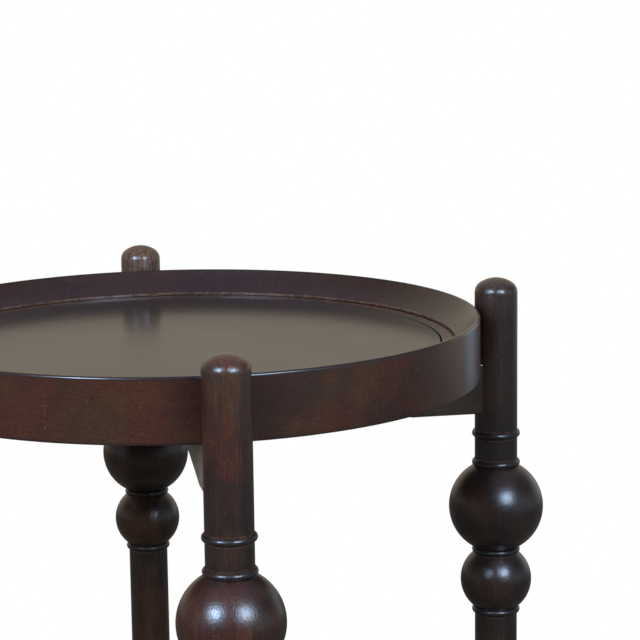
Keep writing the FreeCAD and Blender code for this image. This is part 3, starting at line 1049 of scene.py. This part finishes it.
@dataclass
class TurnedPosts:
    """Four posts, each turned from one length of wood: domed top, beads, balls and a ball foot.

    Attributes:
        shaft_radius: Of the shaft and the necks.
        dome_height: Of the dome over the shaft.
        shoulder_radius: Of the dome's rounded shoulder.
        rail_to_collar: From the rails' lower edge down to the collar bead.
        collar_neck: Height of the neck between the collar bead and the big ball's bead.
        bead_height: Of a bead.
        bead_projection: How far a bead stands out.
        bead_notch: How far the groove between a bead and a ball stands out.
        waist_bead_height: Of the bead between the balls.
        big_ball_radius: A shade under the solid's 45.4, so as to stay inside its packed, faceted mesh.
        small_ball_radius: Of the small balls.
        foot_flat_radius: Of the flat under the foot.
        shade_pool_reach: How far from a bead the stain and painted shade reach.
        shade_pool_share: How much darker they make the wood there.
        handled_reach: How far down from its top a dome is handled.
        sides: Facets round a post.
        handling: How much hands have worn each dome.
        tones: How much brown each post shows, which also sets its plank apart.
        ages: How far each post's brown leans to olive.
    """

    shaft_radius: float = 20.4
    dome_height: float = 14.0
    shoulder_radius: float = 11.0
    rail_to_collar: float = 18.4
    collar_neck: float = 21.9
    bead_height: float = 6.6
    bead_projection: float = 2.7
    bead_notch: float = 0.5
    waist_bead_height: float = 5.6
    big_ball_radius: float = 45.36
    small_ball_radius: float = 34.2
    foot_flat_radius: float = 25.0
    shade_pool_reach: float = 22.0
    shade_pool_share: float = 0.5
    handled_reach: float = 60.0
    sides: int = 96
    handling: dict[Station, float] = field(default_factory=lambda: {
        Station.RIGHT: 0.35, Station.BACK: 0.95, Station.LEFT: 0.35, Station.FRONT: 0.3})
    tones: dict[Station, float] = field(default_factory=lambda: {
        Station.RIGHT: 0.38, Station.BACK: 0.85, Station.LEFT: 0.60, Station.FRONT: 1.0})
    ages: dict[Station, float] = field(default_factory=lambda: {
        Station.RIGHT: 0.2, Station.BACK: 0.3, Station.LEFT: 0.05, Station.FRONT: 0.0})

    def half_ball(self, radius: float) -> float:
        """Height from a ball's middle to the groove that a bead meets it in."""
        return math.sqrt(radius ** 2 - (self.shaft_radius + self.bead_notch) ** 2)

    def bead(self, profile: Profile, height: float, low: float, end_radius: float) -> float:
        """Draws a bead upwards.

        Args:
            profile: The post's profile.
            height: The bead's height.
            low: Where it starts.
            end_radius: The radius that it ends on.

        Returns:
            Where it ends.
        """
        # Stain and painted shade pool about the bead's ends
        profile.mark("pooled", self.shade_pool_reach, self.shade_pool_share)
        profile.arc((self.shaft_radius + self.bead_projection, low + height / 2), (end_radius, low + height))
        profile.mark("pooled", self.shade_pool_reach, self.shade_pool_share)
        return low + height

    def ball(self, profile: Profile, radius: float, low: float) -> float:
        """Draws a ball upwards from groove to groove and returns where it ends."""
        half = self.half_ball(radius)
        profile.arc((radius, low + half), (self.shaft_radius + self.bead_notch, low + 2 * half))
        return low + 2 * half

    def profile(self, foot: float, rail_bottom: float, top: float, handling: float) -> Profile:
        """Draws the post's outline from the foot's middle up to the dome's.

        Args:
            foot: Height of the foot's flat.
            rail_bottom: Height of the rails' lower edge.
            top: Height of the dome.
            handling: How much hands have worn the dome.

        Returns:
            The profile.
        """
        shaft = self.shaft_radius
        notch = shaft + self.bead_notch
        profile = Profile()
        profile.line(0, foot)
        profile.line(self.foot_flat_radius, foot)
        depth = math.sqrt(self.big_ball_radius ** 2 - self.foot_flat_radius ** 2)
        half = self.half_ball(self.big_ball_radius)
        profile.arc((self.big_ball_radius, foot + depth), (notch, foot + depth + half))
        height = self.bead(profile, self.waist_bead_height, foot + depth + half, notch)
        height = self.ball(profile, self.small_ball_radius, height)
        self.bead(profile, self.bead_height, height, shaft)
        balls = 2 * self.half_ball(self.big_ball_radius) + 2 * self.half_ball(self.small_ball_radius)
        stack = balls + 3 * self.bead_height + self.waist_bead_height + self.collar_neck
        height = rail_bottom - self.rail_to_collar - stack
        profile.line(shaft, height)
        height = self.bead(profile, self.bead_height, height, notch)
        height = self.ball(profile, self.small_ball_radius, height)
        height = self.bead(profile, self.waist_bead_height, height, notch)
        height = self.ball(profile, self.big_ball_radius, height)
        height = self.bead(profile, self.bead_height, height, shaft) + self.collar_neck
        profile.line(shaft, height)
        self.bead(profile, self.bead_height, height, shaft)
        base = top - self.dome_height
        profile.line(shaft, base)
        inner = shaft - self.shoulder_radius
        spread = inner ** 2 + self.dome_height ** 2 - self.shoulder_radius ** 2
        crown = spread / (2 * (self.dome_height - self.shoulder_radius))
        join = math.degrees(math.atan2(base - top + crown, inner))
        profile.sweep((inner, base), self.shoulder_radius, 0, join)
        profile.sweep((0, top - crown), crown, join, 90)
        profile.mark("worn", self.handled_reach, handling)
        return profile

    def build(self, turning: Tree, material: Material) -> None:
        """Turns the four posts and puts them in place."""
        low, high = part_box("post_front")
        rail_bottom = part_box("rail_left_right")[0].z
        for station in Station:
            profile = self.profile(low.z / MM, rail_bottom / MM, high.z / MM, self.handling[station])
            name = station.name.lower()
            centre = middle_of("post_" + name)
            mesh = grow(turning, profile.mesh("post_profile"), {
                "Sides": self.sides, "First Angle": math.radians(station.value), "Sweep": math.tau,
                "Centre": (centre.x, centre.y, 0.0), "Tone": self.tones[station], "Age": self.ages[station],
                "Material": material})
            place_piece("turned_post_" + name, mesh, Body.FRAME, "post_" + name)


@dataclass
class RimSegments:
    """Eight sawn segments, butted end to end and turned as one ring.

    Attributes:
        land: Width of the flat on top.
        edge_radius: Of the lower edges.
        crown_radius: Of the upper outer edge.
        arris_inset: From the outside to the arris at the slope's foot.
        arris_drop: From the top to the arris.
        cove_depth: How hollow the slope is.
        ledge_width: Width of the ledge that is level with the panel.
        lip_width: Width of the lip that the panel lies on.
        panel_thickness: Depth of the panel's seat.
        arris_ease: Radius that softens the arris.
        ledge_ease: Radius that softens the edges of the ledge and the lip.
        land_ease: Radius that softens the land's inner edge.
        rub_reach: How far from the arris it is rubbed.
        edge_reach: How far the section's convexity is measured, each way.
        first_seam: Angle of the first seam, in degrees.
        count: The number of segments.
        sides: Facets along one segment.
        seat_radius: Of the screw head's seat at the lip's lower face.
        seat_slope_depth: Depth of the seat's cone.
        seat_overrun: How far below the lip the cutting cone starts.
        seat_sides: Facets round the seat.
        tones: How much brown each segment shows, which also sets its plank apart.
    """

    land: float = 3.2
    edge_radius: float = 0.8
    crown_radius: float = 2.0
    arris_inset: float = 22.7
    arris_drop: float = 21.6
    cove_depth: float = 1.2
    ledge_width: float = 12.4
    lip_width: float = 17.0
    panel_thickness: float = 12.0
    arris_ease: float = 0.3
    ledge_ease: float = 0.3
    land_ease: float = 0.8
    rub_reach: float = 1.3
    edge_reach: float = 2.0
    first_seam: float = -61.0
    count: int = 8
    sides: int = 60
    seat_radius: float = 4.1
    seat_slope_depth: float = 4.92
    seat_overrun: float = 1.0
    seat_sides: int = 32
    tones: tuple[float, ...] = (0.90, 0.86, 0.88, 0.84, 0.87, 0.93, 0.97, 0.94)

    def profile(self) -> Profile:
        """Draws the section from the lip's lower corner round the outside and back."""
        low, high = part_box("rim_segment_1")
        bottom, top = low.z / MM, high.z / MM
        outer = self.outer_radius()
        arris = outer - self.arris_inset
        ledge = arris - self.ledge_width
        lip = ledge - self.lip_width
        panel_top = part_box("top_panel")[1].z / MM
        profile = Profile(edge_reach=self.edge_reach)
        profile.line(lip, bottom, self.edge_radius)
        profile.line(outer, bottom, self.edge_radius)
        profile.line(outer, top, self.crown_radius)
        profile.line(outer - self.land, top, self.land_ease)
        low_point = top - self.arris_drop
        run = outer - self.land - arris
        slope = math.hypot(run, self.arris_drop)
        middle_radius = (outer - self.land + arris) / 2 + self.cove_depth * self.arris_drop / slope
        middle_height = (top + low_point) / 2 - self.cove_depth * run / slope
        profile.arc((middle_radius, middle_height), (arris, low_point))
        profile.corners[-1] = (arris, low_point, self.arris_ease)
        profile.mark("worn", self.rub_reach, 1.0)
        profile.line(arris, panel_top)
        profile.line(ledge, panel_top, self.ledge_ease)
        profile.line(ledge, panel_top - self.panel_thickness)
        profile.line(lip, panel_top - self.panel_thickness, self.ledge_ease)
        return profile

    def outer_radius(self) -> float:
        """The ring's outer radius, from the segments' boxes."""
        reach = max(abs(value) for number in range(self.count)
                    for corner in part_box(f"rim_segment_{number + 1}") for value in (corner.x, corner.y))
        return reach / MM

    def build(self, segment: Tree, material: Material) -> None:
        """Makes the segments and puts them in place."""
        profile = self.profile()
        span = 360 / self.count
        screws = self.outer_radius() - self.arris_inset - self.ledge_width - self.lip_width / 2
        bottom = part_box("rim_segment_1")[0].z
        overrun = self.seat_overrun
        for number in range(self.count):
            first = self.first_seam + number * span
            mid = math.radians(first + span / 2)
            turn = Matrix.Rotation(math.radians(90), 3, "X") @ Matrix.Rotation(-mid, 3, "Z")
            mesh = grow(segment, profile.mesh("rim_profile", closed=True), {
                "Sides": self.sides, "First Angle": math.radians(first), "Sweep": math.radians(span),
                "Centre": (0.0, 0.0, 0.0), "Grain Turn": tuple(turn.to_euler("XYZ")),
                "Tone": self.tones[number], "Material": material,
                "Seat Radius": (self.seat_radius + overrun * self.seat_radius / self.seat_slope_depth) * MM,
                "Seat Depth": (self.seat_slope_depth + overrun) * MM, "Seat Sides": self.seat_sides,
                "Seat Place": (screws * MM * math.cos(mid), screws * MM * math.sin(mid),
                               bottom - overrun * MM)})
            node = f"rim_segment_{number + 1}"
            place_piece(f"sawn_rim_{number + 1}", mesh, Body.TRAY, node)


@dataclass
class TopPanel:
    """The round veneered panel in the rim, with softened edges.

    Attributes:
        edge_radius: Of the softened edges.
        sides: Facets round the panel.
        tone: How much brown it shows.
    """

    edge_radius: float = 0.5
    sides: int = 240
    tone: float = 0.42

    def build(self, turning: Tree, material: Material) -> None:
        """Turns the panel and puts it in place."""
        low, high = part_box("top_panel")
        radius, bottom, top = high.x / MM, low.z / MM, high.z / MM
        profile = Profile()
        profile.line(0, bottom)
        profile.line(radius, bottom, self.edge_radius)
        profile.line(radius, top, self.edge_radius)
        profile.line(0, top)
        mesh = grow(turning, profile.mesh("panel_profile"), {
            "Sides": self.sides, "Sweep": math.tau, "Grain Turn": (0.0, -math.pi / 2, 0.0),
            "Tone": self.tone, "Material": material})
        place_piece("veneered_panel", mesh, Body.TRAY, "top_panel")


@dataclass
class CrossRails:
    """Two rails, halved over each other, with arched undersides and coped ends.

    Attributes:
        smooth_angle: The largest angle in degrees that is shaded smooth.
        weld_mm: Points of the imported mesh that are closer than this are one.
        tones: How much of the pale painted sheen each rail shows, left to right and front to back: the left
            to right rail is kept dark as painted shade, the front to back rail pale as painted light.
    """

    smooth_angle: float = 30.0
    weld_mm: float = 0.005
    tones: tuple[float, float] = (0.12, 1.0)

    def build(self, material: Material) -> None:
        """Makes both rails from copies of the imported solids, merged and shaded smooth."""
        for node, turn, tone in (("rail_left_right", 0.0, self.tones[0]),
                                 ("rail_front_back", math.pi / 2, self.tones[1])):
            mesh = merged_copy(node, self.smooth_angle, self.weld_mm)
            plank = Matrix.Rotation(-math.pi / 2, 3, "Y") @ Matrix.Rotation(-turn, 3, "Z")
            write_plank(mesh, plank, tone)
            mesh.materials.clear()
            mesh.materials.append(material)
            place_piece(node.replace("rail", "arched_rail"), mesh, Body.FRAME, node)


def merged_copy(node: str, smooth_angle: float, weld_mm: float) -> Mesh:
    """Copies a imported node's mesh, merges its loose triangles and shades it smooth up to an angle.

    Args:
        node: The node's name.
        smooth_angle: The largest angle in degrees that is shaded smooth.
        weld_mm: Points that are closer than this become one.

    Returns:
        The new mesh.
    """
    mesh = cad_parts[node].data.copy()
    work = bmesh.new()
    work.from_mesh(mesh)
    bmesh.ops.remove_doubles(work, verts=work.verts, dist=weld_mm * MM)
    for face in work.faces:
        face.smooth = True
    work.to_mesh(mesh)
    work.free()
    mesh.set_sharp_from_angle(angle=math.radians(smooth_angle))
    return mesh


def write_plank(mesh: Mesh, plank: Matrix, tone: float) -> None:
    """Writes the place in the plank and the tone on a mesh.

    Args:
        mesh: The mesh.
        plank: What turns a place so that the fibres run along Z.
        tone: The piece's tone.
    """
    places = [value for vertex in mesh.vertices for value in plank @ vertex.co]
    mesh.attributes.new("grain", "FLOAT_VECTOR", "POINT").data.foreach_set("vector", places)
    mesh.attributes.new("tone", "FLOAT", "POINT").data.foreach_set("value", [tone] * len(mesh.vertices))


@dataclass
class Fixings:
    """What stays as packed: screws, bolts, washers, nuts, nails, dowels, splines, pads and glides."""

    def build(self) -> None:
        """Dresses each node in its finish."""
        plated = MillSteel("zinc_plated_steel", "#B9B8B2", "#8E8D88").build()
        blackened = MillSteel("black_oxide_steel", "#4A4744", "#2E2C2A", roughness=0.42).build()
        beech = BareWood("beech_dowel", "#C9A47C", "#A9784F").build()
        ply = BareWood("birch_plywood", "#CDB08A", "#A98558", fibre_mm=1.4).build()
        felt = SoftPad("pressed_wool_felt", "#2E2622", "#4B3F38", grain_mm=0.5, depth_mm=0.25,
                       roughness=0.95, sheen=0.4).build()
        nylon = SoftPad("moulded_nylon", "#2F2925", "#3A332E", grain_mm=0.3, depth_mm=0.02,
                        roughness=0.48).build()
        for node in ("hanger_bolts", "bolt_washers", "bolt_nuts", "glide_nails"):
            dress(node, plated)
        for node in ("lap_screw", "panel_screws"):
            dress(node, blackened)
        dress("rail_dowels", beech)
        dress("rim_splines", ply)
        dress("felt_pads", felt)
        dress("foot_glides", nylon)


class LampPart(Enum):
    """What a lamp does: it lights the surfaces, or it is what their gloss shows."""

    FILL = "fill"
    GLEAM = "gleam"


@dataclass(frozen=True)
class Lamp:
    """A soft lamp: round, or a rectangle where it has a height. Metres and watts.

    Attributes:
        name: The lamp's name.
        part: What it does.
        way: The way to it from the table's middle.
        watts: Its power.
        tint: Its colour.
        size: Its diameter, or its width where it has a height.
        distance: How far away it stands.
        height: The height of a rectangle.
    """

    name: str
    part: LampPart
    way: Way
    watts: float
    tint: str
    size: float = 1.4
    distance: float = 2.4
    height: float = 0.0


# The ways to the two lights in front
LEFT_WAY = (-0.594, -0.679, 0.437)
RIGHT_WAY = (0.347, -0.818, 0.458)

# White light from both sides and above, the two round softboxes that the domes show as twin lights, and a
# wide dim screen and a strip that the right end of the rim shows
LAMPS = (
    Lamp("key_left", LampPart.FILL, LEFT_WAY, 31.0, "#FFFFFF"),
    Lamp("key_right", LampPart.FILL, RIGHT_WAY, 26.0, "#FFFFFF"),
    Lamp("overhead", LampPart.FILL, (0.1, 0.2, 1.0), 14.0, "#FFFFFF", size=1.8),
    Lamp("softbox_left", LampPart.GLEAM, (-0.602, -0.632, 0.495), 215.0, "#BBDDFF", size=1.15, distance=4.2),
    Lamp("softbox_right", LampPart.GLEAM, RIGHT_WAY, 54.0, "#C2E0FF", size=0.85),
    Lamp("screen_right", LampPart.GLEAM, (0.966, 0.26, -0.02), 1.6, "#E4E6E6", size=1.5, distance=2.6,
         height=1.5),
    Lamp("strip_right", LampPart.GLEAM, (0.78, 0.63, -0.02), 1.3, "#B4D4F0", size=0.5, distance=2.6,
         height=1.5),
)


@dataclass(frozen=True)
class Glow:
    """A soft light part of the room, which only gloss shows.

    Attributes:
        name: What it is.
        way: The way to its middle.
        fade: How far a way agrees with it, as a cosine, where it starts and where it is full.
        tint: Its colour.
        level: Its strength.
    """

    name: str
    way: Way
    fade: Pair
    tint: str
    level: float


# What the gloss shows of the room, apart from the lamps
GLOWS = (
    Glow("backdrop", (0.0, 1.0, 0.0), (0.1, 0.8), "#FFF0D8", 0.43),
    Glow("right wall", (0.85, -0.50, -0.16), (0.75, 0.95), "#DCE8FA", 0.6),
    Glow("left wall", (-0.98, -0.10, -0.16), (0.8, 0.98), "#DCD8EC", 0.45),
    Glow("ceiling", (0.0, 0.0, 1.0), (0.5, 0.95), "#D8C8E4", 0.5),
)


@dataclass
class Studio:
    """A pale floor, soft lamps and the camera at the photograph's place. Metres, watts and degrees.

    Attributes:
        camera_place: Where the camera stands.
        heading: How far it looks to the right of straight on.
        pitch: How far it looks down.
        roll: How far it leans.
        lens_mm: Its lens, on a sensor of sensor_mm.
        sensor_mm: The sensor's width.
        aim_height: The height that the lamps are aimed at.
        floor_radius: Of the floor.
        floor_sides: Facets round it.
        fade_from: Where the floor starts to fade to white, from the middle.
        fade_to: Where it is white.
        floor_pale: The floor as the camera sees it.
        floor_deep: The floor as it lights the table, so that little light comes back up from it.
        room: The room as gloss shows it, outside the glows.
        room_level: Its strength.
        ambient: The soft light from all round.
        ambient_level: Its strength.
        gloss_share: How much of the floor's white gloss shows.
    """

    camera_place: Way = (-0.2541, -2.0517, 0.9543)
    heading: float = 10.7213
    pitch: float = 10.2417
    roll: float = 0.7657
    lens_mm: float = 127.25
    sensor_mm: float = 36.0
    aim_height: float = 0.45
    floor_radius: float = 4.0
    floor_sides: int = 64
    fade_from: float = 0.45
    fade_to: float = 0.80
    floor_pale: str = "#F4F3F0"
    floor_deep: str = "#5E5C59"
    room: str = "#DDE6F2"
    room_level: float = 0.075
    ambient: str = "#FFF4E6"
    ambient_level: float = 0.20
    gloss_share: float = 0.03

    def build(self) -> None:
        """Builds the whole studio."""
        self.build_camera()
        self.build_world()
        self.build_floor()
        self.build_lamps()
        bpy.context.scene.view_settings.view_transform = "Standard"

    def build_camera(self) -> None:
        """Puts the camera where the photograph was taken from."""
        data = bpy.data.cameras.new("camera")
        data.lens = self.lens_mm
        data.sensor_width = self.sensor_mm
        camera = new_object("camera", data)
        aim = Matrix.Rotation(math.radians(-self.heading), 3, "Z")
        tip = Matrix.Rotation(math.radians(90 - self.pitch), 3, "X")
        lean = Matrix.Rotation(math.radians(-self.roll), 3, "Z")
        camera.location = self.camera_place
        camera.rotation_euler = (aim @ tip @ lean).to_euler()
        bpy.context.scene.camera = camera

    def eye(self, tree: Tree) -> Node:
        """Who sees the floor's white: the camera and clear glass in full, and gloss by its share."""
        path = add_node(tree, "ShaderNodeLightPath").outputs
        gloss = add_node(tree, "ShaderNodeMath", {
            0: path["Is Glossy Ray"], 1: self.gloss_share, 2: path["Is Transmission Ray"]},
            operation="MULTIPLY_ADD")
        return add_node(tree, "ShaderNodeMath", {0: path["Is Camera Ray"], 1: gloss}, use_clamp=True)

    def build_world(self) -> None:
        """White for the eye, a soft even light, and for gloss a dim room with the glows in it."""
        world = bpy.data.worlds.new("studio")
        world.use_nodes = True
        tree = world.node_tree
        tree.nodes.clear()
        way = add_node(tree, "ShaderNodeTexCoord").outputs["Generated"]
        shade = tinted(self.room, self.room_level)
        for glow in GLOWS:
            near = add_node(tree, "ShaderNodeVectorMath", {0: way, 1: Vector(glow.way).normalized()},
                            operation="DOT_PRODUCT").outputs["Value"]
            share = add_node(tree, "ShaderNodeMapRange", {
                "Value": near, "From Min": glow.fade[0], "From Max": glow.fade[1]},
                interpolation_type="SMOOTHSTEP")
            shade = add_node(tree, "ShaderNodeMix", {0: share, 6: shade, 7: tinted(glow.tint, glow.level)},
                             data_type="RGBA").outputs[2]
        gloss = add_node(tree, "ShaderNodeBackground", {"Color": shade, "Strength": 1.0})
        room = add_node(tree, "ShaderNodeBackground", {
            "Color": linear(self.ambient), "Strength": self.ambient_level})
        white = add_node(tree, "ShaderNodeBackground", {"Color": WHITE, "Strength": 1.0})
        path = add_node(tree, "ShaderNodeLightPath").outputs
        lit = add_node(tree, "ShaderNodeMixShader", {0: path["Is Glossy Ray"], 1: room, 2: gloss})
        seen = add_node(tree, "ShaderNodeMath", {
            0: path["Is Camera Ray"], 1: path["Is Transmission Ray"]}, use_clamp=True)
        mixed = add_node(tree, "ShaderNodeMixShader", {0: seen, 1: lit, 2: white})
        add_node(tree, "ShaderNodeOutputWorld", {"Surface": mixed})
        bpy.context.scene.world = world

    def build_floor(self) -> None:
        """A pale floor that keeps the table's shadow, fades to white further off and is clear from below."""
        mesh = bpy.data.meshes.new("floor")
        work = bmesh.new()
        bmesh.ops.create_circle(work, cap_ends=True, radius=self.floor_radius, segments=self.floor_sides)
        work.to_mesh(mesh)
        work.free()
        floor = new_object("floor", mesh)
        material, tree = new_material("painted_floor")
        place = add_node(tree, "ShaderNodeTexCoord").outputs["Object"]
        reach = add_node(tree, "ShaderNodeVectorMath", {0: place}, operation="LENGTH").outputs["Value"]
        fade = add_node(tree, "ShaderNodeMapRange", {
            "Value": reach, "From Min": self.fade_from, "From Max": self.fade_to},
            interpolation_type="SMOOTHSTEP")
        eye = self.eye(tree)
        colour = add_node(tree, "ShaderNodeMix", {
            0: eye, 6: linear(self.floor_deep), 7: linear(self.floor_pale)}, data_type="RGBA")
        matt = add_node(tree, "ShaderNodeBsdfDiffuse", {"Color": colour.outputs[2]})
        white = add_node(tree, "ShaderNodeEmission", {"Color": WHITE, "Strength": 1.0})
        faded = add_node(tree, "ShaderNodeMath", {0: fade, 1: eye}, operation="MULTIPLY")
        mixed = add_node(tree, "ShaderNodeMixShader", {0: faded, 1: matt, 2: white})
        below = add_node(tree, "ShaderNodeNewGeometry").outputs["Backfacing"]
        clear = add_node(tree, "ShaderNodeBsdfTransparent")
        shown = add_node(tree, "ShaderNodeMixShader", {0: below, 1: mixed, 2: clear})
        add_node(tree, "ShaderNodeOutputMaterial", {"Surface": shown})
        mesh.materials.append(material)

    def build_lamps(self) -> None:
        """Hangs the lamps, each turned to the table and seen only by what it is for."""
        aim = Vector((0.0, 0.0, self.aim_height))
        for lamp in LAMPS:
            data = bpy.data.lights.new(lamp.name, "AREA")
            data.shape = "RECTANGLE" if lamp.height else "DISK"
            data.size = lamp.size
            data.size_y = lamp.height
            data.energy = lamp.watts
            data.color = linear(lamp.tint)[:3]
            data.cycles.use_multiple_importance_sampling = lamp.part is LampPart.GLEAM
            piece = new_object(lamp.name, data)
            piece.location = aim + Vector(lamp.way).normalized() * lamp.distance
            piece.rotation_euler = (aim - piece.location).to_track_quat("-Z", "Y").to_euler()
            piece.visible_diffuse = lamp.part is LampPart.FILL
            piece.visible_glossy = lamp.part is LampPart.GLEAM


def main() -> None:
    """Builds the studio and dresses the table, piece by piece."""
    logging.basicConfig(level=logging.INFO, format="%(name)s: %(message)s")
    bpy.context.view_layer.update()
    Studio().build()
    turning = turning_tree()
    segment = segment_tree()
    # The posts' right sides are painted darker by the default facing values, as painted shade
    turned = StainedWood("espresso_stained_post").build()
    # The rim's upward faces are painted darker by its facing values, as painted shade
    sawn = StainedWood(
        "espresso_stained_rim", patch_mm=48.0, patch_floor=0.5, cloud_shift=(0.0, 0.0, 0.0), painted_facing_shade=0.65,
        painted_facing_shade_way=(0.0, 0.0, 1.0), coat_roughness=0.22, fibre_share=0.05, band_share=0.02,
        mottle_share=0.16, ripple_mm=1.5, ripple_depth_mm=0.008).build()
    # The rails' pale grey browns are painted sheen, kept even by the high patch floor; the rail tones set how
    # much of it each rail shows
    rail_stain_and_painted_sheen = StainedWood(
        "espresso_stained_rail_and_painted_sheen", stain="#2B2826", warm="#A0968A", olive="#A2988B", painted_facing_shade=0.0,
        patch_floor=0.85, fibre_share=0.1, band_share=0.06, ripple_depth_mm=0.01).build()
    veneer = StainedWood(
        "espresso_stained_veneer", warm="#262329", olive="#272529", painted_facing_shade=0.0, fibre_share=0.08,
        band_share=0.05, specular=0.05, coat_roughness=0.17, ripple_depth_mm=0.002, smear_mm=55.0,
        smear_share=0.07).build()
    TurnedPosts().build(turning, turned)
    RimSegments().build(segment, sawn)
    TopPanel().build(turning, veneer)
    CrossRails().build(rail_stain_and_painted_sheen)
    Fixings().build()


if __name__ == "__main__":
    main()
